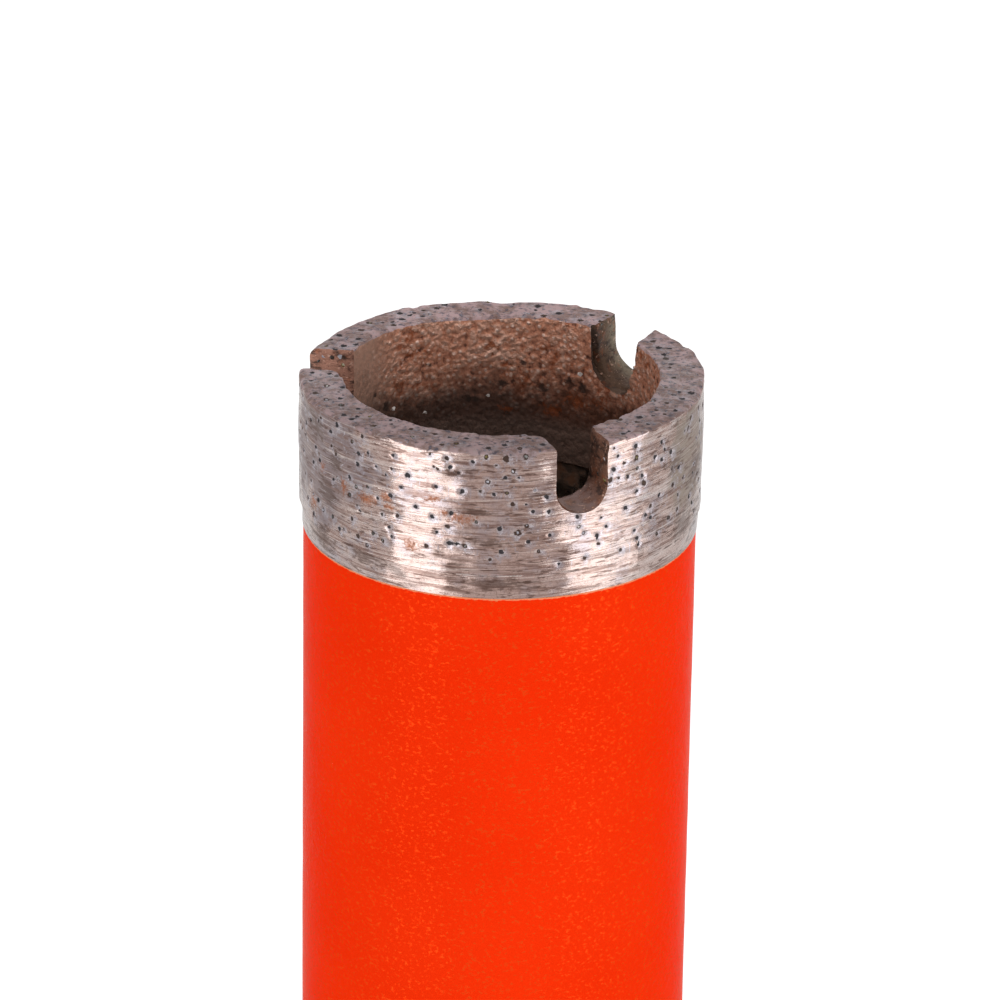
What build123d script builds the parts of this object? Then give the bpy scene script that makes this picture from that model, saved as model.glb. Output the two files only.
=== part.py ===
from build123d import *
import os

# Diamond core bit for drilling holes in masonry, standing on its hub with the cutting ring uppermost.
# Millimetres. Z is the tool's axis, and the origin is the centre of the hub's open end face.
# Headings run round the axis in degrees, from -Y towards +X.

# Whole tool
bit_diameter = 28.0  # the hole that the cutting ring drills
drilling_depth = 150.0  # cutting face to the hub's shoulder

# Cutting ring, sintered in one piece: a diamond-bearing rim on a plain base
rim_thickness = 3.0  # across the wall
rim_height = 9.05
base_height = 1.85
base_relief = 0.17  # the ground base is this much smaller than the rim, on the radius
base_taper = 0.08  # and falls this much further towards the barrel
face_edge_radius = 0.5  # wear on the outer edge of the cutting face
bore_edge_radius = 0.15

# Water slots through the cutting ring, ground one at a time, so no two are quite alike:
# heading, sideways offset from the axis, width, depth at the bore, outward rise of the floor in degrees
water_slots = [
    (23.0, 0.1, 3.6, 4.8, 0.0),
    (149.5, -3.0, 3.9, 4.3, 9.0),
    (261.5, -0.2, 3.6, 4.5, 0.0),
]

# Barrel, a steel tube
barrel_clearance = 0.3  # between the barrel and the hole that the ring has cut
barrel_wall = 2.2

# Hub, turned from bar and brazed into the barrel
hub_length = 28.0  # open end to shoulder
hub_step = 1.3  # the hub stands this much proud of the barrel
hub_cone_height = 3.0  # slope from the shoulder out to the full diameter
hub_chamfer = 0.8
spigot_length = 10.0
spigot_chamfer = 1.0
braze_gap = 0.05  # between the spigot and the barrel's bore
passage_diameter = 12.0  # lets the cooling water through
spanner_flat_depth = 1.5
spanner_flat_start = 5.0  # above the open end
spanner_flat_height = 14.0

# G 1/2 internal thread, bored to its minor diameter
thread_major = 20.955
thread_minor = 18.631
thread_length = 18.0
thread_entry = 0.25  # the mouth and the run-out groove clear the major diameter by this, on the radius
thread_groove_height = 3.0

# Radii and heights that follow
rim_radius = bit_diameter / 2
ring_bore_radius = rim_radius - rim_thickness
barrel_radius = rim_radius - barrel_clearance
barrel_bore_radius = barrel_radius - barrel_wall
hub_radius = barrel_radius + hub_step
spigot_radius = barrel_bore_radius - braze_gap
passage_radius = passage_diameter / 2
thread_radius = thread_minor / 2
thread_mouth_radius = thread_major / 2 + thread_entry
thread_mouth_depth = thread_mouth_radius - thread_radius
cutting_face_z = hub_length + drilling_depth
rim_foot_z = cutting_face_z - rim_height
barrel_top_z = rim_foot_z - base_height

os.makedirs("parts", exist_ok=True)


# Cutting ring
with BuildPart() as crown:
    with BuildSketch(Plane.XZ):
        with BuildLine():
            Polyline(
                (ring_bore_radius, barrel_top_z),
                (rim_radius - base_relief - base_taper, barrel_top_z),
                (rim_radius - base_relief, rim_foot_z),
                (rim_radius, rim_foot_z),
                (rim_radius, cutting_face_z),
                (ring_bore_radius, cutting_face_z),
                close=True,
            )
        make_face()
    revolve(axis=Axis.Z)
    face_edges = crown.edges().group_by(Axis.Z)[-1].sort_by(SortBy.RADIUS)
    fillet(face_edges[0], radius=bore_edge_radius)
    fillet(face_edges[-1], radius=face_edge_radius)
    for heading, offset, width, depth, floor_rise in water_slots:
        # The plane stands at the bore: local X runs across the slot and local Z outwards along its floor
        outwards = Vector(0, -1, 0).rotate(Axis.Z, heading)
        across = Vector(1, 0, 0).rotate(Axis.Z, heading)
        along_floor = Vector(0, -1, 0).rotate(Axis.X, -floor_rise).rotate(Axis.Z, heading)
        mouth = ring_bore_radius * outwards + Vector(0, 0, cutting_face_z)
        mouth_plane = Plane(origin=mouth, x_dir=across, z_dir=along_floor)
        with BuildSketch(mouth_plane):
            with Locations((offset, 0)):
                SlotOverall(2 * depth, width, rotation=90)
        extrude(amount=2 * rim_thickness, both=True, mode=Mode.SUBTRACT)

# Barrel, from the hub's shoulder to the foot of the cutting ring
with BuildPart() as barrel:
    with BuildSketch(Plane.XY.offset(hub_length)):
        Circle(barrel_radius)
        Circle(barrel_bore_radius, mode=Mode.SUBTRACT)
    extrude(amount=barrel_top_z - hub_length)

# Hub: half section from the spigot's bore outwards and down, then back up through the thread
with BuildPart() as hub:
    with BuildSketch(Plane.XZ):
        with BuildLine():
            Polyline(
                (passage_radius, hub_length + spigot_length),
                (spigot_radius - spigot_chamfer, hub_length + spigot_length),
                (spigot_radius, hub_length + spigot_length - spigot_chamfer),
                (spigot_radius, hub_length),
                (barrel_radius, hub_length),
                (hub_radius, hub_length - hub_cone_height),
                (hub_radius, hub_chamfer),
                (hub_radius - hub_chamfer, 0),
                (thread_mouth_radius, 0),
                (thread_radius, thread_mouth_depth),
                (thread_radius, thread_length),
                (thread_mouth_radius, thread_length),
                (thread_mouth_radius, thread_length + thread_groove_height),
                (passage_radius, thread_length + thread_groove_height),
                close=True,
            )
        make_face()
    revolve(axis=Axis.Z)
    with BuildSketch(Plane.XY.offset(spanner_flat_start)):
        Rectangle(3 * hub_radius, 3 * hub_radius)
        Rectangle(3 * hub_radius, 2 * (hub_radius - spanner_flat_depth), mode=Mode.SUBTRACT)
    extrude(amount=spanner_flat_height, mode=Mode.SUBTRACT)

crown.part.label = "crown"
barrel.part.label = "barrel"
hub.part.label = "hub"
export_step(crown.part, "parts/crown.step")
export_step(barrel.part, "parts/barrel.step")
export_step(hub.part, "parts/hub.step")
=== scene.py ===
import math
from types import SimpleNamespace

import bmesh
import bpy
import numpy as np
from bpy.props import FloatProperty, FloatVectorProperty, IntProperty, PointerProperty
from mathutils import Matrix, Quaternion, Vector


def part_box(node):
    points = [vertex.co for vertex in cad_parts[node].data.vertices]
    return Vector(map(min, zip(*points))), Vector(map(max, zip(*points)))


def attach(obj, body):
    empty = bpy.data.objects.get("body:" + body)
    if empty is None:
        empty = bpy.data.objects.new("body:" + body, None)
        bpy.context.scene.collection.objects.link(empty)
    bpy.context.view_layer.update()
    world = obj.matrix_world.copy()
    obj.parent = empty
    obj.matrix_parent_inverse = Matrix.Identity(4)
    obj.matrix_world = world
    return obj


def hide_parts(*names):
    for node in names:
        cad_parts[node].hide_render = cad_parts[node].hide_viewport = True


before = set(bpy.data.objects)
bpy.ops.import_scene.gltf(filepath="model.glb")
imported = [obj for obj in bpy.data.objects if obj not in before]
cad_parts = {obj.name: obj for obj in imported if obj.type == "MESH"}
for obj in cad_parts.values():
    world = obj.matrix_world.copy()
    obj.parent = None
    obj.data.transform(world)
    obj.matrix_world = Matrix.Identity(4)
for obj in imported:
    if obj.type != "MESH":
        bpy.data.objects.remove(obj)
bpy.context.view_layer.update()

bl_info = {
    "name": "Diamond core bit",
    "version": (1, 0, 0),
    "blender": (4, 5, 0),
    "location": "3D View > Sidebar > Core bit",
    "description": "Builds a slotted diamond core bit around its packed CAD frame",
    "category": "Add Mesh",
}

# Millimetres in this file, metres in Blender
MM = 0.001
TURN = 2 * math.pi

# Sizes that the frame gives
crown_box, barrel_box, hub_box = (
    np.array([list(corner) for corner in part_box(node)]) / MM for node in ("crown", "barrel", "hub"))
RIM_RADIUS, _, FACE_Z = crown_box[1]
FOOT_Z = crown_box[0, 2]
BARREL_RADIUS = barrel_box[1, 0]
SHOULDER_Z = barrel_box[0, 2]
HUB_RADIUS, _, SPIGOT_TOP_Z = hub_box[1]

# Sizes that a box doesn't give
RIM_HEIGHT = 9.05
BORE_RADIUS = RIM_RADIUS - 3.0
BASE_TOP_RADIUS = RIM_RADIUS - 0.17
BASE_FOOT_RADIUS = BASE_TOP_RADIUS - 0.08
BARREL_BORE_RADIUS = 11.5
CONE_Z = SHOULDER_Z - 3.0
HUB_CHAMFER = 0.8
SPIGOT_RADIUS = 11.45
SPIGOT_CHAMFER = 1.0
PASSAGE_RADIUS = 6.0
PASSAGE_CHAMFER = 0.3
FLAT_Y = 13.5
FLAT_LOW, FLAT_HIGH = 5.0, 19.0
THREAD_RADIUS = 18.631 / 2
THREAD_DEPTH = 1.162
THREAD_PITCH = 1.814
THREAD_TOP = 18.0
GROOVE_RADIUS = 10.7275
GROOVE_TOP = 21.0

# Each water slot: heading in degrees from -Y towards +X, sideways offset, width, depth at the bore, outward
# rise of its floor in degrees, and how far its inner corner is worn round on either side
WATER_SLOTS = (
    (23.0, 0.1, 3.6, 4.8, 0.0, 0.9, 0.15),
    (149.5, -3.0, 3.9, 4.3, 9.0, 0.15, 0.25),
    (261.5, -0.2, 3.6, 4.5, 0.0, 0.15, 1.2),
)
# How far a slot is wider at the face, the rim and the bore, where its edges are broken
FACE_BREAK, RIM_BREAK, BORE_BREAK = 0.14, 0.12, 0.1
# How far a slot's cutter reaches past the face, the bore and the rim
CUTTER_ABOVE, CUTTER_INSIDE, CUTTER_OUTSIDE = 1.2, 1.5, 0.8

# Wear of the cutting face's outer edge round the ring: heading in degrees, radius of the rounding
EDGE_WEAR = (
    (0, 0.5), (9, 0.75), (16, 0.15), (31, 0.3), (41, 0.12), (75, 0.35), (108, 0.15), (128, 0.5),
    (158, 0.12), (174, 0.62), (181, 0.8), (206, 0.42), (238, 0.72), (262, 0.5), (290, 0.35), (328, 0.12),
    (340, 0.45),
)
INNER_WEAR, BACK_WEAR, BACK_WEAR_HEADING, BACK_WEAR_SPREAD = 0.14, 0.28, 190, 0.3

# Roughness, by height, size and seed of each noise that it is made of
OUTER_EDGE_WAVES = ((0.1, 1.6, 11), (0.07, 0.7, 12), (0.05, 0.4, 14))
INNER_EDGE_WAVES = ((0.05, 1.2, 13), (0.05, 0.45 * RIM_RADIUS / BORE_RADIUS, 15))
SIDE_WAVES = ((0.055, 3.1, 21), (0.055, 1.2, 22))
FACE_WAVES = ((0.06, 3.6, 24), (0.035, 0.9, 25), (0.025, 0.4, 27))
SLOT_WAVES = ((0.035, 1.1, 0), (0.025, 0.45, 1))
STREAK_HEIGHT = 0.014
PAINT_WAVES = ((0.012, 2.2, 53), (0.006, 1.1, 54))

# A dip across the back of the cutting face
DIP_DEPTH, DIP_WIDTH = 0.16, 0.9

# The scratches' sets: slant, waves to the millimetre along each axis, detail and roughness. In the band
# inside the rim they keep to the height alone.
STREAK_BAND = 0.35
STREAK_SETS = (
    (-0.06, (0.16, 0.16, 11.0), 4.0, 0.75),
    (0.05, (0.2, 0.2, 2.8), 3.0, 0.6),
    (-0.02, (0.8, 0.8, 5.0), 3.0, 0.65),
)

# A diamond's tone, from 0 to 1, says whether its pit is empty and which colour the crystal has
DARK_TONE, CRYSTAL_TONE, OLIVE_TONE, PALE_TONE, GLINT_TONE = 0.3, 0.6, 0.78, 0.92, 1.0
# The random tone of a diamond that is marked as dark stays below this, clear of the olive and pale ones
DARK_LIMIT = 0.72

# Diamonds and empty pits that stand out on the side, by tone: heading in degrees, depth below the face
MARKED_GRAINS = {
    OLIVE_TONE: ((356, 0.4), (1.5, 0.5), (32, 2.8), (41, 1.7), (44, 3.8)),
    PALE_TONE: ((3.5, 1.4), (5, 5.9), (7.5, 5.4), (356.5, 2.2)),
    DARK_TONE: (
        (345, 0.7), (7, 0.4), (342, 2.9), (349.5, 3), (354.5, 2.9), (336, 4.6), (341, 5.1), (346.5, 4.7),
        (3.5, 3.8), (13, 3.4), (353.5, 5.2), (0, 5.6), (345.5, 5.7), (339.5, 7.3), (346, 6.9), (350.5, 7),
        (8, 6.6), (0.5, 7.3), (34.5, 1.2), (36.5, 1.8), (33, 2.1), (41.5, 2.5), (38, 2.9), (51.5, 1.3),
        (53, 2), (48.5, 2.2), (51.5, 2.6), (41.5, 4.2), (43.5, 3.2), (51, 5.2), (58, 5), (37.5, 5.2),
        (47, 5.7), (45, 6.2), (22, 5.1), (31, 6.2), (28, 6.7), (28.5, 7.3), (41, 7.1), (42, 7.7),
        (42.5, 8.2), (36, 8.2), (50, 8), (60, 7), (59.5, 7.6), (69, 6.9), (71.5, 7.6), (56, 2.4),
        (57, 3.7), (61, 4), (64, 5), (304, 1.3), (307.5, 0.5), (318, 0.5), (314, 1.2), (316.5, 1.9),
        (320, 1.6), (316, 2.7), (304.5, 2.3), (307, 2.7), (295.5, 3.2), (329, 1.2), (333.5, 2.4),
        (328.5, 2.2), (305.5, 4.7), (313, 3.9), (315.5, 4.4), (313, 5.2), (320, 4.1), (323.5, 4.7),
        (328, 4.2), (331.5, 3.4), (325, 5.8), (287, 6), (289, 7.6), (294, 8.3), (305, 7.5), (308.5, 8.1),
        (314, 6.9), (316.5, 8), (322, 7.4), (325.5, 7.7), (327.5, 6.6), (328.5, 7.2), (298.5, 3.9),
        (291, 1.6), (297, 7), (283, 3), (280, 5.2),
    ),
}

# Diamonds bared in the slots' walls: slot, side of it, distance from the axis, depth, radius and tone
WALL_GRAINS = (
    (2, -1, 12.9, 0.55, 0.36, PALE_TONE), (2, -1, 13.2, 0.9, 0.2, CRYSTAL_TONE),
    (2, -1, 11.7, 0.5, 0.3, PALE_TONE), (2, -1, 12.3, 0.6, 0.3, CRYSTAL_TONE),
    (2, -1, 11.5, 1.1, 0.22, OLIVE_TONE), (0, 1, 13.4, 1.4, 0.26, PALE_TONE),
    (0, 1, 12.4, 2.9, 0.24, CRYSTAL_TONE), (0, 1, 13.5, 2.9, 0.3, OLIVE_TONE),
    (1, -1, 12.6, 1.9, 0.24, CRYSTAL_TONE),
)

# White diamonds that are painted glints in the bore: heading, depth below the face and radius
BORE_GLINTS = (
    (150, 3.9, 0.29), (209.5, 7, 0.29), (224, 6.1, 0.29), (185, 6.2, 0.2), (60, 4, 0.27),
)
GLINT_SUNK = 0.12

# Sizes of diamonds, in shares of the middling radius: marked ones, the bore's and all others
MARKED_SIZES, BORE_SIZES, OTHER_SIZES = (0.72, 1.1), (0.45, 0.75), (0.55, 1.1)
FACE_ENLARGED, CRYSTAL_ENLARGED = 1.3, 1.35
# How far random ones stay below the face, above the rim's foot, and inside the face's two edges
BELOW_FACE, ABOVE_BASE, FROM_BORE, FROM_RIM = 0.45, 0.6, 0.25, 0.55
# Share of the random diamonds that the side goes without towards -Y, where its marked ones are, and the
# cosine of the heading where that ends
THINNED_SHARE, THINNED_COSINE = 0.6, 0.3

# Rust spots, stains and duller areas: heading, depth below the face, width and height
RUST_SPOTS = (
    (349.5, 5, 2.2, 0.8), (334.5, 7.5, 1.1, 0.9), (344.5, 4.7, 0.9, 0.4), (341, 3.8, 1.2, 0.5),
    (300.5, 4.2, 0.9, 0.9), (310.5, 4.7, 0.7, 1.6), (294, 7.4, 1.1, 1.1), (319.5, 5, 1.9, 1.1),
    (326.5, 4.4, 0.9, 0.8), (327, 5.1, 1.6, 0.5), (88, 6.5, 1.2, 0.6), (101, 3, 0.8, 0.5),
    (133, 7, 1.5, 0.7), (166, 5, 1, 0.4), (184, 2.5, 0.7, 0.5), (199, 6.8, 1.6, 0.8), (231, 4.4, 1.1, 0.5),
    (247, 7.6, 0.8, 0.6),
)
BORE_RUST_SPOTS = (
    (151, 6, 4, 2), (140, 5.4, 3, 2), (161, 7, 3.4, 1.4), (178, 7.2, 2.4, 1), (60, 5, 4, 2),
    (300, 6, 3, 2),
)
STAINS = (
    (303, 6, 2.2, 3), (299, 9.6, 4.5, 2.4), (307, 3.2, 2, 2.4), (296, 1.6, 3, 2.4), (318, 9.4, 5, 1.4),
    (10, 3.2, 2.4, 0.5), (354, 4.4, 3, 0.7), (358, 6.6, 4, 0.9), (0, 9.8, 7, 1.2), (345, 1.7, 4, 0.7),
    (64, 8.4, 4, 3), (73, 5, 3, 4), (58, 3.4, 3, 1.6), (98, 8.5, 5, 2), (126, 3, 4, 1.4),
    (171, 7.6, 5, 1.6), (192, 4, 3, 1), (214, 9, 5, 1.8), (243, 3, 3, 2),
)
BORE_STAINS = (
    (149, 4.9, 1.8, 1), (155, 4.6, 1.4, 0.7), (165, 5.4, 2.4, 0.9), (180, 5.2, 2, 0.6), (192, 6.4, 2, 0.8),
    (228, 5.8, 1.4, 0.8), (234, 4.4, 0.8, 0.6), (172, 3.6, 0.9, 0.4), (208, 3.4, 1, 0.5), (20, 5, 3, 1.4),
    (75, 6, 2.4, 1.2), (330, 4, 2.4, 1),
)
DULL_PATCHES = (
    (300, 3.6, 15, 11), (68, 4, 9, 11), (118, 5, 10, 6), (176, 3, 12, 6), (222, 6, 11, 7),
)

# Depths of pits, and how the mesh draws in towards them: distances in radii, before and after
EMPTY_PIT_DEPTH, FULL_PIT_DEPTH = 0.1, 0.04
DRAWN_IN = ((0, 1.6, 2.6), (0, 1.0, 2.6))
# How far crystals are stretched, and how deep they are sunk, in radii
CRYSTAL_STRETCH, CRYSTAL_SUNK, CRYSTAL_SIZE = (0.8, 1.05), (0.66, 0.86), 0.92

# How rusty the bare steel is, from 0 to 1
BARREL_RUST, HUB_RUST = 0.2, 0.02

# The studio, in metres and degrees
TABLE_CORNERS = ((-0.4, -0.12), (0.4, -0.12), (0.4, 3.0), (-0.4, 3.0))
TABLE_DROP = 0.02 * MM
TABLE_GLOW = 0.62
BACK_OF_ROOM = (0.76, 0.92)
SOFTBOXES = (("left", -45, 0.37), ("right", 60, 0.50))
SOFTBOX_DISTANCE, SOFTBOX_MIDDLE, SOFTBOX_HEIGHT = 0.6, 0.2, 0.9
SENSOR_WIDTH, LENS = 36.0, 230.07
CAMERA_PLACE, CAMERA_AIM, CAMERA_ROLL = (0, -0.408245, 0.345016), (0, 0, 0.168454), 0.886
NEAREST, FARTHEST = 0.01, 50.0


# ---------------------------------------------------------------- shapes

def smooth(values, low, high):
    """0 below low and 1 above high, with a smoothstep between them."""
    share = np.clip((values - low) / (high - low), 0, 1)
    return share * share * (3 - 2 * share)


def scatter(cell, seed):
    """A repeatable number from 0 to 1 for each whole-number cell: its three indices and the seed times large
    primes, added up and stirred by shifts."""
    mixed = cell[..., 0] * 374761393 + cell[..., 1] * 668265263 + cell[..., 2] * 1442695041 + seed * 974634777
    mixed = (mixed ^ (mixed >> 13)) * 1274126177
    mixed = (mixed ^ (mixed >> 16)) * 2246822519
    return ((mixed ^ (mixed >> 15)) & 0xFFFFFF) / 0xFFFFFF


def noise(points, size, seed):
    """Smooth heights from -1 to 1: a random value at each corner of a lattice of cubes of that size, blended
    across the cube by smoothstep."""
    scaled = points / size
    cell = np.floor(scaled).astype(np.int64)
    share = scaled - cell
    share = share * share * (3 - 2 * share)
    total = 0
    for corner in np.ndindex(2, 2, 2):
        weight = np.prod(np.where(corner, share, 1 - share), axis=-1)
        total = total + weight * scatter(cell + np.array(corner), seed)
    return 2 * total - 1


def waves(points, sets, seed=0):
    """Noises added up, each given by its height, size and seed."""
    return sum(height * noise(points, size, seed + own) for height, size, own in sets)


def pebbles(points, size, seed):
    """Distance, in sizes, to the nearest of a cloud of points, one at random in each cube of that size."""
    scaled = points / size
    cell = np.floor(scaled).astype(np.int64)
    closest = np.full(points.shape[:-1], 9.0)
    for step in np.ndindex(3, 3, 3):
        near = cell + np.array(step) - 1
        spot = near + np.stack([scatter(near, seed + axis) for axis in range(3)], axis=-1)
        closest = np.minimum(closest, np.linalg.norm(scaled - spot, axis=-1))
    return closest


def round_axis(azimuth, radius, height):
    """Points at a radius and height round the axis, where azimuth 0 is -Y and a quarter turn is +X."""
    azimuth, radius, height = np.broadcast_arrays(azimuth, radius, height)
    return np.stack([radius * np.sin(azimuth), -radius * np.cos(azimuth), height], axis=-1)


def steps(start, end, count):
    """A straight stretch of a section: equal steps from one (radius, height) towards another, without it."""
    share = np.arange(count)[:, None] / count
    return [first * (1 - share) + last * share for first, last in zip(start, end)]


def rounding(centre, radius, first, last, count):
    """A round stretch of a section about a centre, from one angle towards another: 0 is up, 90 outwards."""
    angle = np.radians(first + (last - first) * np.arange(count) / count)[:, None]
    return [centre[0] + radius * np.sin(angle), centre[1] + radius * np.cos(angle)]


def section(azimuth, *stretches):
    """Joins a section's stretches, and carries it round the axis: a grid of points, rows along the section
    and columns round the axis, and the number of the stretch that each row is in."""
    counts = [max(len(rows) for rows in stretch) for stretch in stretches]
    radius, height = (np.concatenate([np.broadcast_to(stretch[part], (count, len(azimuth)))
                                      for stretch, count in zip(stretches, counts)]) for part in (0, 1))
    return round_axis(azimuth, radius, height), np.repeat(np.arange(len(stretches)), counts)


def ring_faces(rows, columns):
    """Quads of a grid that closes both ways. They face outwards where the rows run down the outside."""
    row, column = np.meshgrid(np.arange(rows), np.arange(columns), indexing="ij")
    below, beside = (row + 1) % rows, (column + 1) % columns
    corners = [r * columns + c for r, c in ((row, column), (below, column), (below, beside), (row, beside))]
    return np.stack(corners, axis=-1).reshape(-1, 4)


def grid_normals(points):
    """Unit normals of such a grid: the cross product of each point's neighbours' differences."""
    down = np.roll(points, -1, axis=0) - np.roll(points, 1, axis=0)
    along = np.roll(points, -1, axis=1) - np.roll(points, 1, axis=1)
    normal = np.cross(down, along)
    return normal / np.maximum(np.linalg.norm(normal, axis=-1, keepdims=True), 1e-9)


def new_piece(name, points, faces, materials, material_index=None, sharp=40):
    """A mesh object from points in millimetres and faces of equal size. It is smooth but for edges over an
    angle."""
    mesh = bpy.data.meshes.new(name)
    mesh.vertices.add(len(points))
    mesh.vertices.foreach_set("co", (points * MM).astype(np.float32).ravel())
    mesh.loops.add(faces.size)
    mesh.loops.foreach_set("vertex_index", faces.astype(np.int32).ravel())
    mesh.polygons.add(len(faces))
    mesh.polygons.foreach_set("loop_start", np.arange(0, faces.size, faces.shape[1], dtype=np.int32))
    for material in materials:
        mesh.materials.append(material)
    if material_index is not None:
        mesh.polygons.foreach_set("material_index", material_index.astype(np.int32))
    mesh.update(calc_edges=True)
    mesh.validate()
    mesh.shade_smooth()
    mesh.set_sharp_from_angle(angle=math.radians(sharp))
    piece = bpy.data.objects.new(name, mesh)
    bpy.context.scene.collection.objects.link(piece)
    return piece


def mesh_points(mesh):
    """The mesh's points as an array, in millimetres."""
    flat = np.empty(len(mesh.vertices) * 3, np.float32)
    mesh.vertices.foreach_get("co", flat)
    return flat.reshape(-1, 3).astype(float) / MM


def keep_values(mesh, name, values):
    """Stores a number or a vector for each point of the mesh, for its material to read."""
    vector = values.ndim == 2
    attribute = mesh.attributes.new(name, "FLOAT_VECTOR" if vector else "FLOAT", "POINT")
    attribute.data.foreach_set("vector" if vector else "value", values.astype(np.float32).ravel())


def closest_spot(points, spots):
    """For each point, which spot is closest and how far it is, worked out in blocks to spare memory."""
    index = np.empty(len(points), int)
    distance = np.empty(len(points))
    for first in range(0, len(points), 4096):
        block = slice(first, first + 4096)
        gaps = np.linalg.norm(points[block, None] - spots[None], axis=-1)
        index[block] = gaps.argmin(axis=1)
        distance[block] = gaps.min(axis=1)
    return index, distance


def patches(points, spots):
    """How deep each point lies in the closest of some oval patches round the ring, each given by heading,
    depth below the face, width and height: 1 in a patch's middle, 0 on its edge and down to -1 outside."""
    heading, depth, width, height = np.array(spots, float).T
    turned = np.degrees(np.arctan2(points[..., 0], -points[..., 1]))[..., None] - heading
    across = np.radians((turned + 180) % 360 - 180) * RIM_RADIUS / (width / 2)
    down = (FACE_Z - points[..., 2, None] - depth) / (height / 2)
    return 1 - np.minimum(np.hypot(across, down).min(axis=-1), 2)


def join_frame(piece, node=None):
    """The piece moves with the tool, and may stand for a CAD node, which is then hidden."""
    if node:
        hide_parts(node)
    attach(piece, "root")


# ---------------------------------------------------------------- cutting ring

def grain_sites(settings):
    """Where diamonds meet the surface: the marked places on the side, then random ones on the ring's side,
    face and bore, without those too close to an earlier one or to a water slot. Gives a place, an outward
    direction, a radius and a tone for each."""
    random = np.random.default_rng(settings.seed)
    grain = settings.grain_radius / MM
    marked = np.array([(*spot, tone) for tone, spots in MARKED_GRAINS.items() for spot in spots])
    side = int(TURN * RIM_RADIUS * RIM_HEIGHT * settings.grain_density)
    face = int(math.pi * (RIM_RADIUS**2 - BORE_RADIUS**2) * settings.grain_density)
    bore = int(TURN * BORE_RADIUS * RIM_HEIGHT * settings.bore_density)
    count = side + face + bore
    kind = np.repeat(("marked", "side", "face", "bore"), (len(marked), side, face, bore))
    azimuth = np.concatenate([np.radians(marked[:, 0]), random.uniform(0, TURN, count)])
    depth = np.concatenate([marked[:, 1], random.uniform(BELOW_FACE, RIM_HEIGHT - ABOVE_BASE, count)])
    on_face, in_bore = kind == "face", kind == "bore"
    radial = np.where(in_bore, BORE_RADIUS, RIM_RADIUS)
    radial[on_face] = random.uniform(BORE_RADIUS + FROM_BORE, RIM_RADIUS - FROM_RIM, face)
    place = round_axis(azimuth, radial, FACE_Z - np.where(on_face, 0, depth))
    outwards = round_axis(azimuth, np.where(in_bore, -1.0, 1.0), 0.0)
    outwards[on_face] = (0, 0, 1)
    sizes = [random.uniform(*limits, len(place)) for limits in (MARKED_SIZES, BORE_SIZES, OTHER_SIZES)]
    radius = grain * np.select([kind == "marked", in_bore], sizes[:2], sizes[2])
    radius[on_face] *= FACE_ENLARGED
    radius[:len(marked)][marked[:, 2] > DARK_TONE] *= CRYSTAL_ENLARGED
    tone = random.uniform(0, 1, len(place))
    tone[:len(marked)] = np.where(marked[:, 2] == DARK_TONE, DARK_LIMIT * tone[:len(marked)], marked[:, 2])
    gap = np.linalg.norm(place[:, None] - place[None], axis=-1)
    lost = np.tril(gap < 1.5 * (radius + radius[:, None]) + 0.03, -1).any(axis=1)
    thinned = random.uniform(0, 1, len(place)) < THINNED_SHARE
    lost |= (kind == "side") & (np.cos(azimuth) > THINNED_COSINE) & thinned
    for heading, offset, width, depth, *_ in WATER_SLOTS:
        turn = math.radians(heading)
        across = place @ (math.cos(turn), math.sin(turn), 0) - offset
        ahead = place @ (math.sin(turn), -math.cos(turn), 0) > 0
        lost |= ahead & (np.abs(across) < width / 2 + 0.1) & (place[:, 2] > FACE_Z - depth - 0.1)
    return place[~lost], outwards[~lost], radius[~lost], tone[~lost]


def wall_sites():
    """The same for the diamonds bared in the slots' walls, which face across their slots, and for the white
    ones in the bore, which are painted glints."""
    slot, side, out, depth, radius, tone = np.array(WALL_GRAINS).T
    heading, offset, width = np.array(WATER_SLOTS)[slot.astype(int), :3].T
    turn = np.radians(heading)
    ahead, across = round_axis(turn, 1.0, 0.0), round_axis(turn + math.pi / 2, 1.0, 0.0)
    place = ahead * out[:, None] + across * (offset + side * (width / 2 - 0.05))[:, None]
    place[:, 2] = FACE_Z - depth
    in_walls = (place, -side[:, None] * across, radius, tone)
    heading, depth, radius = np.array(BORE_GLINTS).T
    turn = np.radians(heading)
    place = round_axis(turn, BORE_RADIUS - GLINT_SUNK, FACE_Z - depth)
    in_bore = (place, -round_axis(turn, 1.0, 0.0), radius, np.full(len(turn), GLINT_TONE))
    return [np.concatenate(pair) for pair in zip(in_walls, in_bore)]


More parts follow.
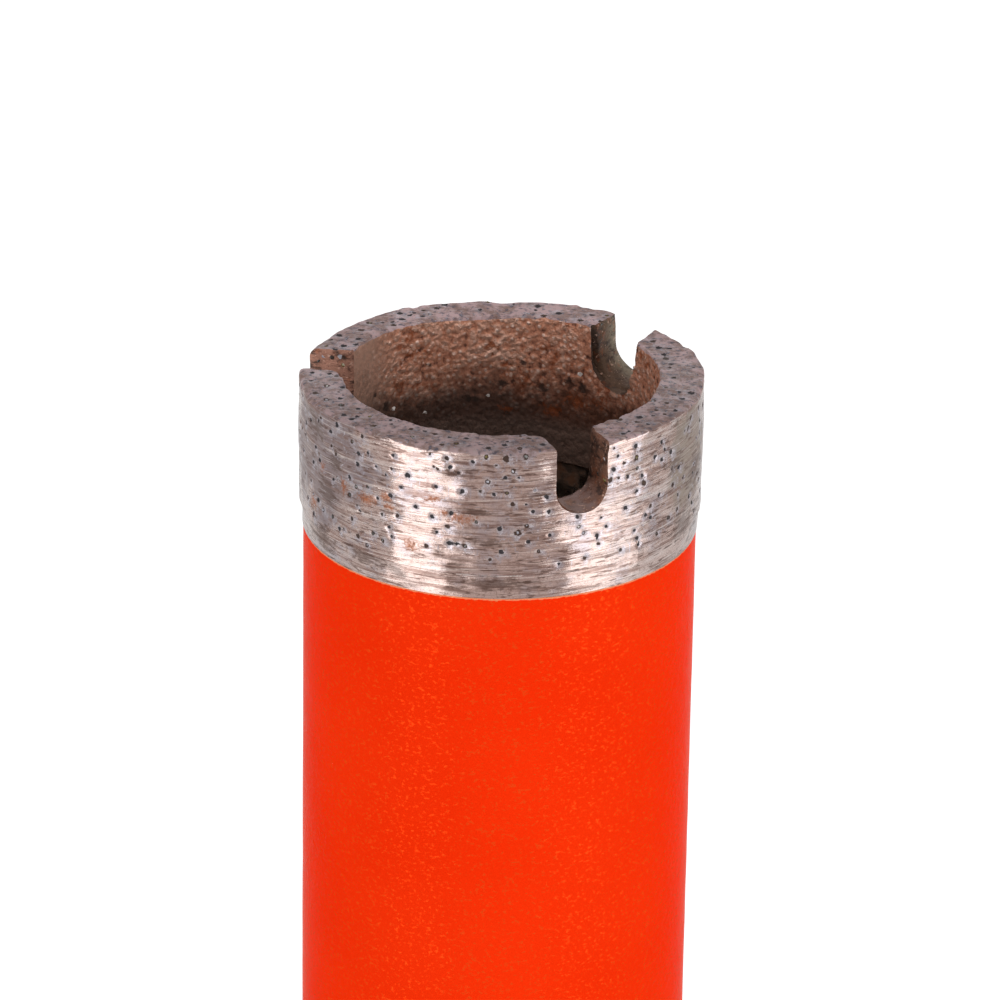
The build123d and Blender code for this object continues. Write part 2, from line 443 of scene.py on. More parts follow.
def ring_section(azimuth, settings):
    """The ring's section at each azimuth: up the bore, over its edge, across the face, over the worn outer
    edge, down the rim, in at the step, down the base and back under the foot."""
    spacing = settings.spacing / MM
    headings, worn = np.array(EDGE_WEAR).T
    edge = round_axis(azimuth, RIM_RADIUS, 0.0)
    wear = np.interp(np.degrees(azimuth), headings, worn, period=360) * settings.edge_wear
    chips = 0.2 * smooth(noise(edge, 0.8, 16), 0.3, 0.6)
    wear = np.clip(wear + waves(edge, OUTER_EDGE_WAVES) + chips, 0.05, 1.0)
    at_back = np.exp(-(((azimuth - math.radians(BACK_WEAR_HEADING)) / BACK_WEAR_SPREAD) ** 2))
    inner = INNER_WEAR + BACK_WEAR * at_back + waves(edge, INNER_EDGE_WAVES)
    rim_foot = FACE_Z - RIM_HEIGHT
    base_top = rim_foot - 0.12
    return section(
        azimuth,
        steps((BORE_RADIUS, FOOT_Z), (BORE_RADIUS, FACE_Z - inner), int((FACE_Z - FOOT_Z) / spacing)),
        rounding((BORE_RADIUS + inner, FACE_Z - inner), inner, -90, 0, 3),
        steps((BORE_RADIUS + inner, FACE_Z), (RIM_RADIUS - wear, FACE_Z), int(2.5 / spacing)),
        rounding((RIM_RADIUS - wear, FACE_Z - wear), wear, 0, 90, 6),
        steps((RIM_RADIUS, FACE_Z - wear), (RIM_RADIUS, rim_foot), int(RIM_HEIGHT * 0.95 / spacing)),
        steps((RIM_RADIUS, rim_foot), (BASE_TOP_RADIUS, base_top), 2),
        steps((BASE_TOP_RADIUS, base_top), (BASE_FOOT_RADIUS, FOOT_Z), 10),
        steps((BASE_FOOT_RADIUS, FOOT_Z), (BORE_RADIUS, FOOT_Z), 8),
    )


def bore_lumps(points):
    """How high the fused grains of the bore stand at each point, carried straight out to the bore first:
    rounded domes about two clouds of random middles, coarse and fine, over a broad swell. They are rubbed
    down on the -X side."""
    stretch = BORE_RADIUS / np.hypot(points[..., 0], points[..., 1])
    wall = np.stack([points[..., 0] * stretch, points[..., 1] * stretch, points[..., 2]], axis=-1)
    rubbed = 0.85 * smooth(-wall[..., 0], 7.2, 9.6)
    domes = sum(0.12 * (0.45 - pebbles(wall, size, seed) ** 2) for size, seed in ((0.66, 31), (0.38, 41)))
    return domes * (1 - rubbed) + 0.06 * noise(wall, 2.4, 26)


def rough_ring(points, sites, settings):
    """The ring's surface with its relief, pushed along the normals: long waves and grinding streaks on the
    side, broad hollows and a dip at the back on the face, fused lumps in the bore, and a pit at each
    diamond, deeper where it is empty. Points near a diamond first draw in towards it, so that its pit has
    more of them."""
    place, _, radius, tone = sites
    shape = points.shape[:2]
    flat = points.reshape(-1, 3)
    index, distance = closest_spot(flat, place)
    reach = distance / radius[index]
    drawn = np.interp(reach, *DRAWN_IN) / np.maximum(reach, 1e-9)
    near = reach < DRAWN_IN[0][-1]
    moved = np.where(near[:, None], place[index] + (flat - place[index]) * drawn[:, None], flat)
    moved = moved.reshape(points.shape)
    reach = np.where(near, reach * drawn, reach).reshape(shape)
    from_axis = np.hypot(moved[..., 0], moved[..., 1])
    depth = FACE_Z - moved[..., 2]
    bore = smooth(-from_axis, -BORE_RADIUS - 0.2, -BORE_RADIUS - 0.02)
    face = smooth(-depth, -0.35, -0.05) * (1 - bore)
    side = 1 - np.maximum(bore, face)
    above_foot = 1 - smooth(depth, FACE_Z - FOOT_Z - 0.5, FACE_Z - FOOT_Z - 0.05)
    streaked = moved * (0.3, 0.3, 4.0) + moved[..., [0]] * (0, 0, 0.25)
    worn = 1 + np.clip(patches(moved, DULL_PATCHES), 0, 0.5)
    relief = side * worn * (waves(moved, SIDE_WAVES) + STREAK_HEIGHT * noise(streaked, 1.0, 23))
    relief += face * waves(moved, FACE_WAVES) + bore * bore_lumps(moved)
    pit_depth = np.where(tone[index] < settings.empty_share, EMPTY_PIT_DEPTH, FULL_PIT_DEPTH)
    relief -= (side + 0.7 * face) * np.clip(1 - reach**2, 0, 1) * pit_depth.reshape(shape)
    dip = DIP_DEPTH * np.exp(-((moved[..., 0] / DIP_WIDTH) ** 2)) * (moved[..., 1] > 0) * face
    return moved + grid_normals(points) * ((relief - dip) * above_foot)[..., None]


def slot_section(width, depth, spacing):
    """A slot's section, down one wall, round its floor and up the other: how far across and how high each
    point of it lies, and how far it faces across and down."""
    half = width / 2
    wall = int((depth - half + CUTTER_ABOVE) / spacing)
    floor = int(math.pi * half / spacing)
    drop = np.linspace(CUTTER_ABOVE, half - depth, wall, endpoint=False)
    turn = np.linspace(0, math.pi, floor, endpoint=False)
    lean = np.concatenate([np.full(wall, -1.0), -np.cos(turn), np.full(wall + 1, 1.0)])
    fall = np.concatenate([np.zeros(wall), -np.sin(turn), np.zeros(wall + 1)])
    round_floor = half - depth - half * np.sin(turn)
    height = np.concatenate([drop, round_floor, [half - depth], drop[:0:-1], [CUTTER_ABOVE]])
    return half * lean, height, lean[:, None], fall[:, None]


def closed_tube(points):
    """A grid of points, closed round its rows, with triangles between them and a fan over each end."""
    rows, columns = points.shape[:2]
    row, column = np.meshgrid(np.arange(rows), np.arange(columns - 1), indexing="ij")
    here, below = row * columns + column, (row + 1) % rows * columns + column
    inner = np.arange(rows) * columns
    outer = inner + columns - 1
    inner_middle, outer_middle = (np.full(rows, rows * columns + end) for end in (0, 1))
    triangles = ((here, here + 1, below + 1), (here, below + 1, below),
                 (np.roll(inner, -1), inner_middle, inner), (outer, outer_middle, np.roll(outer, -1)))
    faces = np.concatenate([np.stack(corners, axis=-1).reshape(-1, 3) for corners in triangles])
    middles = [points[:, end].mean(axis=0) for end in (0, -1)]
    return np.concatenate([points.reshape(-1, 3), middles]), faces[:, ::-1]


def slot_cutter(slot, settings):
    """What grinding took out of the ring at one slot, as a closed surface: the slot's section carried
    outwards along its floor. It is a little wider at the face, the bore and the rim, where the slot's edges
    are broken, and wider still where an inner corner is worn round."""
    heading, offset, width, depth, rise, low_round, high_round = slot
    spacing = settings.spacing / MM
    across, height, lean, fall = slot_section(width, depth, spacing)
    out = np.arange(BORE_RADIUS - CUTTER_INSIDE, RIM_RADIUS + CUTTER_OUTSIDE, spacing)
    side, out = np.meshgrid(across + offset, out, indexing="ij")
    up = np.broadcast_to(height[:, None], side.shape)
    from_axis = np.hypot(side, out)
    widening = FACE_BREAK * smooth(up, -0.25, 0.05)
    for radius, broken in ((RIM_RADIUS, RIM_BREAK), (BORE_RADIUS, BORE_BREAK)):
        widening += broken * smooth(-np.abs(from_axis - radius), -0.2, 0)
    corner = np.where(lean < 0, low_round, high_round)
    inside = np.clip((BORE_RADIUS + corner - from_axis) / corner, 0, 0.99)
    widening += corner * (1 - np.sqrt(1 - inside**2)) * np.abs(lean)
    local = np.stack([side, out, up], axis=-1)
    scored = np.stack([side, 0.3 * out + 0.3 * up, 2 * (up - 0.6 * out)], axis=-1)
    seed = int(heading)
    widening += waves(local, SLOT_WAVES, seed) + 0.03 * noise(scored, 0.8, seed + 2)
    side = side + widening * lean
    up = up + widening * fall
    turn, slope = math.radians(heading), math.radians(rise)
    lift = up * math.cos(slope) + (out - BORE_RADIUS) * math.sin(slope)
    out = out - up * math.sin(slope)
    return closed_tube(np.stack([side * math.cos(turn) + out * math.sin(turn),
                                 side * math.sin(turn) - out * math.cos(turn), FACE_Z + lift], axis=-1))


def grind_slots(ring, wall_material, settings):
    """Takes the water slots out of the ring with a Boolean, which is applied, and splits what it leaves
    into triangles."""
    points, faces = zip(*(slot_cutter(slot, settings) for slot in WATER_SLOTS))
    starts = np.cumsum([0] + [len(own) for own in points])
    faces = [own + start for own, start in zip(faces, starts)]
    cutter = new_piece("slot_cutters", np.concatenate(points), np.concatenate(faces), [wall_material])
    grind = ring.modifiers.new("grind_slots", "BOOLEAN")
    grind.operation, grind.solver, grind.material_mode = "DIFFERENCE", "EXACT", "TRANSFER"
    grind.object = cutter
    ground = bpy.data.meshes.new_from_object(ring.evaluated_get(bpy.context.evaluated_depsgraph_get()))
    ring.modifiers.remove(grind)
    bpy.data.objects.remove(cutter)
    shell = bmesh.new()
    shell.from_mesh(ground)
    bmesh.ops.remove_doubles(shell, verts=shell.verts, dist=2e-6)
    bmesh.ops.triangulate(shell, faces=shell.faces)
    shell.to_mesh(ground)
    shell.free()
    ground.shade_smooth()
    ground.set_sharp_from_angle(angle=math.radians(50))
    ring.data = ground
    ground.name = ring.name


def keep_marks(mesh, sites):
    """Keeps for the ring's finishes, at each point: how it lies from the closest diamond along the surface,
    in that diamond's radii, the diamond's tone, the bore's lumps, and the patches of rust, dullness and
    stain."""
    points = mesh_points(mesh)
    place, outwards, radius, tone = sites
    index, _ = closest_spot(points, place)
    offset = points - place[index]
    offset -= outwards[index] * (offset * outwards[index]).sum(axis=1, keepdims=True)
    offset /= radius[index][:, None]
    keep_values(mesh, "grain_offset", offset)
    keep_values(mesh, "grain_reach", np.linalg.norm(offset, axis=1))
    keep_values(mesh, "grain_tone", tone[index])
    keep_values(mesh, "lump", bore_lumps(points))
    keep_values(mesh, "dull", patches(points, DULL_PATCHES))
    in_bore = np.hypot(points[:, 0], points[:, 1]) < BORE_RADIUS + 0.5
    for name, bore_spots, spots in (("rust", BORE_RUST_SPOTS, RUST_SPOTS), ("stain", BORE_STAINS, STAINS)):
        keep_values(mesh, name, np.where(in_bore, patches(points, bore_spots), patches(points, spots)))


def crystal_shape():
    """Points and triangles of a crystal of radius 1: a cube with its corners cut off at its edges' middles."""
    corner = np.array([(a, b, 0) for a in (-1, 1) for b in (-1, 1)])
    shape = np.concatenate([np.roll(corner, turn, axis=1) for turn in range(3)]) / math.sqrt(2)
    hull = bmesh.new()
    for spot in shape:
        hull.verts.new(spot)
    bmesh.ops.convex_hull(hull, input=hull.verts)
    bmesh.ops.triangulate(hull, faces=hull.faces)
    hull.verts.index_update()
    points = np.array([vertex.co for vertex in hull.verts])
    sides = np.array([[vertex.index for vertex in face.verts] for face in hull.faces])
    hull.free()
    return points, sides


def make_grains(sites, material, settings):
    """A crystal in each pit that has kept its diamond, turned at random and sunk until a cap of it stands
    out."""
    place, outwards, radius, tone = sites
    held = tone >= settings.empty_share
    place, outwards, radius, tone = place[held], outwards[held], radius[held], tone[held]
    crystal, sides = crystal_shape()
    random = np.random.default_rng(settings.seed + 1)
    spin = random.normal(size=(len(place), 4))
    w, x, y, z = (spin / np.linalg.norm(spin, axis=1, keepdims=True)).T
    turn = np.array([
        [1 - 2 * (y * y + z * z), 2 * (x * y - w * z), 2 * (x * z + w * y)],
        [2 * (x * y + w * z), 1 - 2 * (x * x + z * z), 2 * (y * z - w * x)],
        [2 * (x * z - w * y), 2 * (y * z + w * x), 1 - 2 * (x * x + y * y)],
    ]).transpose(2, 0, 1)
    stretch = random.uniform(*CRYSTAL_STRETCH, (len(place), 1, 3))
    sunk = radius * random.uniform(*CRYSTAL_SUNK, len(place))
    points = np.einsum("nij,nkj->nki", turn, crystal[None] * stretch)
    points *= (radius * CRYSTAL_SIZE)[:, None, None]
    points += (place - outwards * sunk[:, None])[:, None]
    faces = sides[None] + (np.arange(len(place)) * len(crystal))[:, None, None]
    grains = new_piece("crown_grains", points.reshape(-1, 3), faces.reshape(-1, 3), [material], sharp=20)
    keep_values(grains.data, "grain_tone", np.repeat(tone, len(crystal)))
    return grains


# ---------------------------------------------------------------- barrel and hub

def barrel_shape(settings):
    """The tube: up its bore, over its top, over the paint's soft lip, down the outside with the faint waves
    of a sprayed coat, and back under."""
    coat = settings.coat / MM
    columns = 320
    azimuth = np.arange(columns) * TURN / columns
    edge = round_axis(azimuth, BARREL_RADIUS, 0.0)
    lip = coat * (1 + 0.35 * noise(edge, 2.4, 51) + 0.25 * noise(edge, 0.7, 52))
    top, low = FOOT_Z, SHOULDER_Z
    steel, lip_top = BARREL_RADIUS - coat, FOOT_Z - 0.3 * coat
    points, stretch = section(
        azimuth,
        steps((BARREL_BORE_RADIUS, low), (BARREL_BORE_RADIUS, top), 60),
        steps((BARREL_BORE_RADIUS, top), (steel, top), 6),
        steps((steel, top), (BARREL_RADIUS - lip, lip_top), 1),
        rounding((BARREL_RADIUS - lip, lip_top - lip), lip, 0, 90, 4),
        steps((BARREL_RADIUS, lip_top - lip), (BARREL_RADIUS, low + coat), 180),
        rounding((steel, low + coat), coat, 90, 180, 3),
        steps((steel, low), (BARREL_BORE_RADIUS, low), 4),
    )
    outside = smooth(np.hypot(points[..., 0], points[..., 1]), BARREL_RADIUS - 0.05, BARREL_RADIUS)
    highest = sum(height for height, _, _ in PAINT_WAVES)
    points = points + grid_normals(points) * ((waves(points, PAINT_WAVES) - highest) * outside)[..., None]
    return points, stretch >= 2


def hub_shape(settings):
    """The hub: up its threaded mouth, run-out groove and water passage, over the spigot, out along the
    shoulder, down the cone and the body with its two spanner flats, and back under, given by the section's
    corners and the rows from each to the next. The thread is a ridge whose height follows a rounded triangle
    wave of height above the mouth less the share of a turn made, which winds it right-handed."""
    columns = 288
    azimuth = np.arange(columns) * TURN / columns
    edge_half = math.acos(FLAT_Y / HUB_RADIUS)
    flat_edges = np.array([edge_half, TURN / 2 - edge_half, TURN / 2 + edge_half, TURN - edge_half])
    azimuth[np.round(flat_edges / TURN * columns).astype(int) % columns] = flat_edges
    corners = (
        (THREAD_RADIUS, 0.0, int(THREAD_TOP / settings.thread_step * MM)),
        (GROOVE_RADIUS, THREAD_TOP, 6),
        (GROOVE_RADIUS, GROOVE_TOP, 6),
        (PASSAGE_RADIUS, GROOVE_TOP, 20),
        (PASSAGE_RADIUS, SPIGOT_TOP_Z - PASSAGE_CHAMFER, 2),
        (PASSAGE_RADIUS + PASSAGE_CHAMFER, SPIGOT_TOP_Z, 8),
        (SPIGOT_RADIUS - SPIGOT_CHAMFER, SPIGOT_TOP_Z, 2),
        (SPIGOT_RADIUS, SPIGOT_TOP_Z - SPIGOT_CHAMFER, 12),
        (SPIGOT_RADIUS, SHOULDER_Z, 4),
        (BARREL_RADIUS, SHOULDER_Z, 8),
        (HUB_RADIUS - 0.1, CONE_Z + 0.2, 2),
        (HUB_RADIUS, CONE_Z, 14),
        (HUB_RADIUS, FLAT_HIGH, 32),
        (HUB_RADIUS, FLAT_LOW, 12),
        (HUB_RADIUS, HUB_CHAMFER, 3),
        (HUB_RADIUS - HUB_CHAMFER, 0.0, 8),
        (GROOVE_RADIUS, 0.0, 1),
    )
    thread, flats = 0, corners.index((HUB_RADIUS, FLAT_HIGH, 32))
    onwards = zip(corners, corners[1:] + corners[:1])
    points, stretch = section(azimuth, *(steps(start[:2], end[:2], start[2]) for start, end in onwards))
    radius = np.hypot(points[..., 0], points[..., 1])
    height = points[..., 2]
    wave = np.abs(2 * ((height / THREAD_PITCH - azimuth / TURN) % 1) - 1)
    cut = THREAD_RADIUS + THREAD_DEPTH * smooth(wave, 0.05, 0.95)
    mouth = GROOVE_RADIUS - height
    threaded = (stretch == thread)[:, None]
    new_radius = np.where(threaded, np.maximum(cut, mouth), radius)
    points[..., :2] *= (new_radius / radius)[..., None]
    milled = (stretch == flats)[:, None]
    points[..., 1] = np.where(milled, np.clip(points[..., 1], -FLAT_Y, FLAT_Y), points[..., 1])
    return points


# ---------------------------------------------------------------- finishes

def below_face(depth):
    """The height, in metres, that lies so many millimetres below the cutting face."""
    return (FACE_Z - depth) * MM


class Nodes:
    """A node tree that short calls add to, in which numbers and sockets go in alike."""

    def __init__(self, tree):
        self.tree = tree

    def put(self, socket, value):
        if isinstance(value, bpy.types.NodeSocket):
            self.tree.links.new(value, socket)
        elif socket.type == "RGBA" and len(value) == 3:
            socket.default_value = (*value, 1)
        else:
            socket.default_value = value

    def add(self, kind, *inputs, **settings):
        """A new shader node with its settings, and with values or sockets for its inputs in their order."""
        node = self.tree.nodes.new("ShaderNode" + kind)
        for key, value in settings.items():
            setattr(node, key, value)
        for socket, value in zip(node.inputs, inputs):
            if value is not None:
                self.put(socket, value)
        return node

    def math(self, operation, *values):
        return self.add("Math", *values, operation=operation).outputs[0]

    def times(self, value, factor, plus=0.0):
        """A number times another, with a third one added."""
        return self.math("MULTIPLY_ADD", value, factor, plus)

    def largest(self, first, *others):
        for other in others:
            first = self.math("MAXIMUM", first, other)
        return first

    def vector(self, operation, *values):
        node = self.add("VectorMath", *values, operation=operation)
        return node.outputs["Value" if operation in ("LENGTH", "DOT_PRODUCT") else "Vector"]

    def scaled(self, vector, factor):
        return self.vector("SCALE", vector, None, None, factor)

    def step(self, value, low, high):
        """0 below low and 1 above high, smoothly between; falls instead where high is the lower."""
        return self.add("MapRange", value, low, high, 0.0, 1.0, interpolation_type="SMOOTHSTEP").outputs[0]

    def between(self, share, first, second):
        """A colour between two, or a number between two."""
        number = isinstance(first, float) or isinstance(second, float)
        mix = self.add("Mix", data_type="FLOAT" if number else "RGBA")
        self.put(mix.inputs[0], share)
        self.put(mix.inputs[2 if number else 6], first)
        self.put(mix.inputs[3 if number else 7], second)
        return mix.outputs[0 if number else 2]

    def over(self, base, *layers):
        """Colours laid over a base in turn, each given with where it shows, from 0 to 1, and its strength."""
        for color, share, strength in layers:
            base = self.between(self.math("MULTIPLY", share, strength), base, color)
        return base

    def ragged(self, value, *noises):
        """A value with noises added, each given with the width that it swings over, half of it either way."""
        for noise_value, width in noises:
            value = self.math("ADD", value, self.times(noise_value, width, -width / 2))
        return value

    def bump(self, height, distance, normal=None):
        """A bump of that many millimetres for a height from 0 to 1."""
        node = self.add("Bump")
        node.inputs["Strength"].default_value = 1.0
        node.inputs["Distance"].default_value = distance * MM
        self.put(node.inputs["Height"], height)
        if normal:
            self.put(node.inputs["Normal"], normal)
        return node.outputs[0]


class Finish(Nodes):
    """A material's nodes, with the place on the object that its patterns are read at."""

    def __init__(self, name):
        self.material = bpy.data.materials.new(name)
        self.material.use_nodes = True
        super().__init__(self.material.node_tree)
        self.surface = self.tree.nodes["Principled BSDF"]
        self.place = self.add("TexCoord").outputs["Object"]
        self.x, self.y, self.z = self.add("SeparateXYZ", self.place).outputs

    def value(self, name, output="Fac"):
        """A number, or a vector, that the mesh keeps for each of its points."""
        return self.add("Attribute", attribute_name=name).outputs[output]

    def from_axis(self):
        return self.vector("LENGTH", self.vector("MULTIPLY", self.place, (1.0, 1.0, 0.0)))

    def facing(self, axis):
        """How far the surface faces along X, Y or Z, given as 0, 1 or 2."""
        return self.add("SeparateXYZ", self.add("NewGeometry").outputs["Normal"]).outputs[axis]

    def grain(self, scale, detail=2.0, rough=0.5, place=None):
        """Noise from 0 to 1 whose grain has that many waves to the millimetre, along each axis."""
        scaled = self.vector("MULTIPLY", place or self.place, tuple(np.broadcast_to(scale, 3) / MM))
        node = self.add("TexNoise", scaled)
        for name, value in (("Scale", 1.0), ("Detail", detail), ("Roughness", rough)):
            node.inputs[name].default_value = value
        return node.outputs[0]

    def cells(self, scale):
        """Round cells, so many to the millimetre: the distance from a cell's middle, and a brightness that
        differs from cell to cell."""
        scaled = self.vector("MULTIPLY", self.place, tuple(np.broadcast_to(scale, 3) / MM))
        node = self.add("TexVoronoi", scaled)
        node.inputs["Scale"].default_value = 1.0
        return node.outputs["Distance"], self.add("SeparateXYZ", node.outputs["Color"]).outputs[0]

    def set(self, **inputs):
        """Fills the surface's inputs, with underscores for their names' spaces, and gives the material."""
        for name, value in inputs.items():
            self.put(self.surface.inputs[name.replace("_", " ")], value)
        return self.material


def metal_streaks(finish):
    """Scratches that run round the axis: noise that is long round it and short across, where across is height
    on the side and radius on the face, in sets that slant apart. Gives the fine set, the broad one and the
    dabs."""
    outwards = finish.math("MINIMUM", finish.from_axis(), (RIM_RADIUS - STREAK_BAND) * MM)
    across = finish.math("ADD", finish.z, outwards)
    sets = []
    for slant, scale, detail, rough in STREAK_SETS:
        place = finish.add("CombineXYZ", finish.x, finish.y, finish.times(finish.x, slant, across)).outputs[0]
        sets.append(finish.grain(scale, detail, rough, place))
    return sets


def ring_marks(finish):
    """The ring's patterns, and where its marks show, from 0 to 1: the dull patches, rust, stains, the cutting
    face, and each diamond's pit, the metal round it and the halo that grinding dragged out behind it."""
    fine, broad, dabs = metal_streaks(finish)
    cloud = finish.grain(0.45, 4.0, 0.6)
    mottle = finish.grain(2.4, 4.0, 0.65)
    speckle = finish.grain(6.0, 3.0, 0.7)
    along = finish.vector("NORMALIZE", finish.vector("CROSS_PRODUCT", (0.0, 0.0, 1.0), finish.place))
    offset = finish.value("grain_offset", "Vector")
    reach = finish.largest(finish.vector("LENGTH", offset), finish.times(finish.value("grain_reach"), 0.95))
    reach = finish.ragged(reach, (finish.grain(5.0, 2.0, 0.6), 1.3))
    dragged = finish.vector("ADD", finish.scaled(along, 0.9), (0.0, 0.0, -0.7))
    tail = finish.vector("LENGTH", finish.vector("SUBTRACT", offset, dragged))
    tail = finish.ragged(tail, (mottle, 8.0))
    on_base = finish.step(finish.z, below_face(RIM_HEIGHT - 0.1), below_face(RIM_HEIGHT + 0.1))
    dulled = finish.step(finish.ragged(finish.value("dull"), (cloud, 1.6)), 0.05, 0.5)
    rusted = finish.ragged(finish.value("rust"), (mottle, 2.0), (fine, 1.6), (speckle, 3.2))
    stained = finish.ragged(finish.value("stain"), (mottle, 1.6), (dabs, 3.0))
    face = finish.step(finish.times(mottle, 0.5, finish.facing(2)), 0.5, 0.8)
    bore_edge = finish.step(finish.from_axis(), (BORE_RADIUS + 0.6) * MM, (BORE_RADIUS + 0.4) * MM)
    return SimpleNamespace(
        fine=fine, broad=broad, dabs=dabs, cloud=cloud, mottle=mottle, speckle=speckle, along=along,
        pit=finish.step(reach, 1.0, 0.78),
        round_pit=finish.step(finish.times(mottle, 4.0, reach), 4.0, 3.0),
        halo=finish.step(tail, 3.4, 0.2),
        # Painted glints: bright specks in each diamond's tail, beside its pit
        pit_glint=finish.times(finish.step(tail, 2.0, 0.4), finish.step(speckle, 0.52, 0.6)),
        dulled=finish.times(dulled, finish.times(on_base, -0.5, 1.0)),
        rusted=finish.step(rusted, -0.15, 1.0),
        stained=finish.step(stained, 0.0, 0.7),
        face=finish.largest(face, bore_edge),
    )


def side_color(finish, marks, settings):
    """The ring's side: brown-grey metal, streaked, dulled, stained and rusted, and lilac-grey round the
    diamonds, with painted glints beside them."""
    towards_x = finish.step(finish.x, 6.0 * MM, 10.0 * MM)
    dull_metal = finish.between(towards_x, settings.dull_color, settings.khaki_color)
    return finish.over(
        settings.metal_color,
        (settings.halo_color, finish.step(marks.cloud, 0.48, 0.66), 0.6),
        (settings.streak_color, finish.step(marks.mottle, 0.5, 0.7), 0.5),
        (dull_metal, marks.dulled, 0.8),
        (settings.streak_color, finish.step(marks.broad, 0.5, 0.64), 0.7),
        (settings.streak_color, finish.step(marks.fine, 0.49, 0.36), 0.72),
        (settings.halo_color, marks.halo, 0.7),
        (settings.scratch_color, finish.step(marks.fine, 0.53, 0.66), 0.9),
        (settings.dab_color, finish.step(marks.dabs, 0.55, 0.64), 0.85),
        (settings.dab_color, finish.step(marks.speckle, 0.56, 0.7), 0.5),
        (settings.stain_color, marks.stained, 0.7),
        (settings.glint_beside_pit_color, marks.pit_glint, 0.65),
        (settings.rust_color, marks.rusted, 0.8),
        (settings.dab_color, finish.times(marks.rusted, finish.step(marks.speckle, 0.5, 0.6)), 0.6),
    )


def face_color(finish, marks, settings):
    """The ring's cutting face: dull mauve-grey with browner parts, dark spots, pale crumbs of diamond with
    painted glints, painted glints beside the diamonds and short scratches both ways, darker in front and paler
    behind by painted light and shade."""
    browner = finish.step(finish.grain(0.8, 5.0, 0.7), 0.42, 0.58)
    crossed = finish.grain((0.9, 6.0, 0.9), 3.0, 0.6)
    color = finish.over(
        finish.between(browner, settings.face_color, settings.face_shade_color),
        (settings.face_scratch_color, finish.step(marks.fine, 0.54, 0.72), 0.7),
        (settings.face_scratch_color, finish.step(crossed, 0.57, 0.65), 0.9),
        (settings.spot_color, finish.step(finish.grain(1.5, 3.0, 0.6), 0.5, 0.66), 0.55),
        (settings.halo_color, marks.halo, 0.35),
        (settings.spot_color, finish.step(finish.grain(3.0, 2.0, 0.6), 0.57, 0.65), 0.8),
        # Pale crumbs of diamond with painted glints on them, then painted glints beside the diamonds
        (settings.crumb_and_glint_color, finish.step(marks.speckle, 0.61, 0.68), 0.8),
        (settings.crumb_and_glint_color, marks.pit_glint, 0.6),
    )
    # Painted light and shade: the face is darker in front, towards -Y, and paler behind, towards +Y
    painted_light_behind = finish.add("MapRange", finish.y, -RIM_RADIUS * MM, RIM_RADIUS * MM, 0.85, 1.2).outputs[0]
    return finish.scaled(color, painted_light_behind)


def ring_finish(settings):
    """Ground sintered bronze and iron on the side and the cutting face. Its scratches tilt the surface, so
    that it glitters, and it shines least in its pits, on its rust and on the face."""
    finish = Finish("ground_ring")
    marks = ring_marks(finish)
    side, face = (color(finish, marks, settings) for color in (side_color, face_color))
    # Painted shade: the empty pits are near black, as hollows in shadow; pits that hold a diamond are rusty
    rusty_pit = finish.step(finish.value("grain_tone"), 0.45, 0.5)
    pit_color = finish.between(rusty_pit, settings.pit_color, settings.rust_pit_color)
    color = finish.between(marks.pit, finish.between(marks.face, side, face), pit_color)
    dull = finish.largest(marks.pit, finish.times(marks.rusted, 0.8), marks.face,
                          finish.times(finish.largest(marks.round_pit, marks.dulled), 0.5))
    rough = finish.times(marks.fine, 0.3, finish.math("SUBTRACT", finish.between(dull, 0.16, 0.6), 0.15))
    tilt = finish.math("SUBTRACT", finish.math("ADD", marks.fine, marks.broad), 1.0)
    tilt = finish.scaled(marks.along, finish.times(tilt, settings.facet_tilt))
    tilted = finish.vector("ADD", finish.add("NewGeometry").outputs["Normal"], tilt)
    tilted = finish.vector("NORMALIZE", tilted)
    normal = finish.bump(finish.times(marks.fine, 0.5, marks.broad), 0.014, tilted)
    normal = finish.bump(finish.grain(4.0, 4.0, 0.65), 0.01, normal)
    return finish.set(Base_Color=color, Metallic=finish.between(dull, 0.95, 0.35), Roughness=rough,
                      Normal=normal, Anisotropic=0.92, Anisotropic_Rotation=0.25)


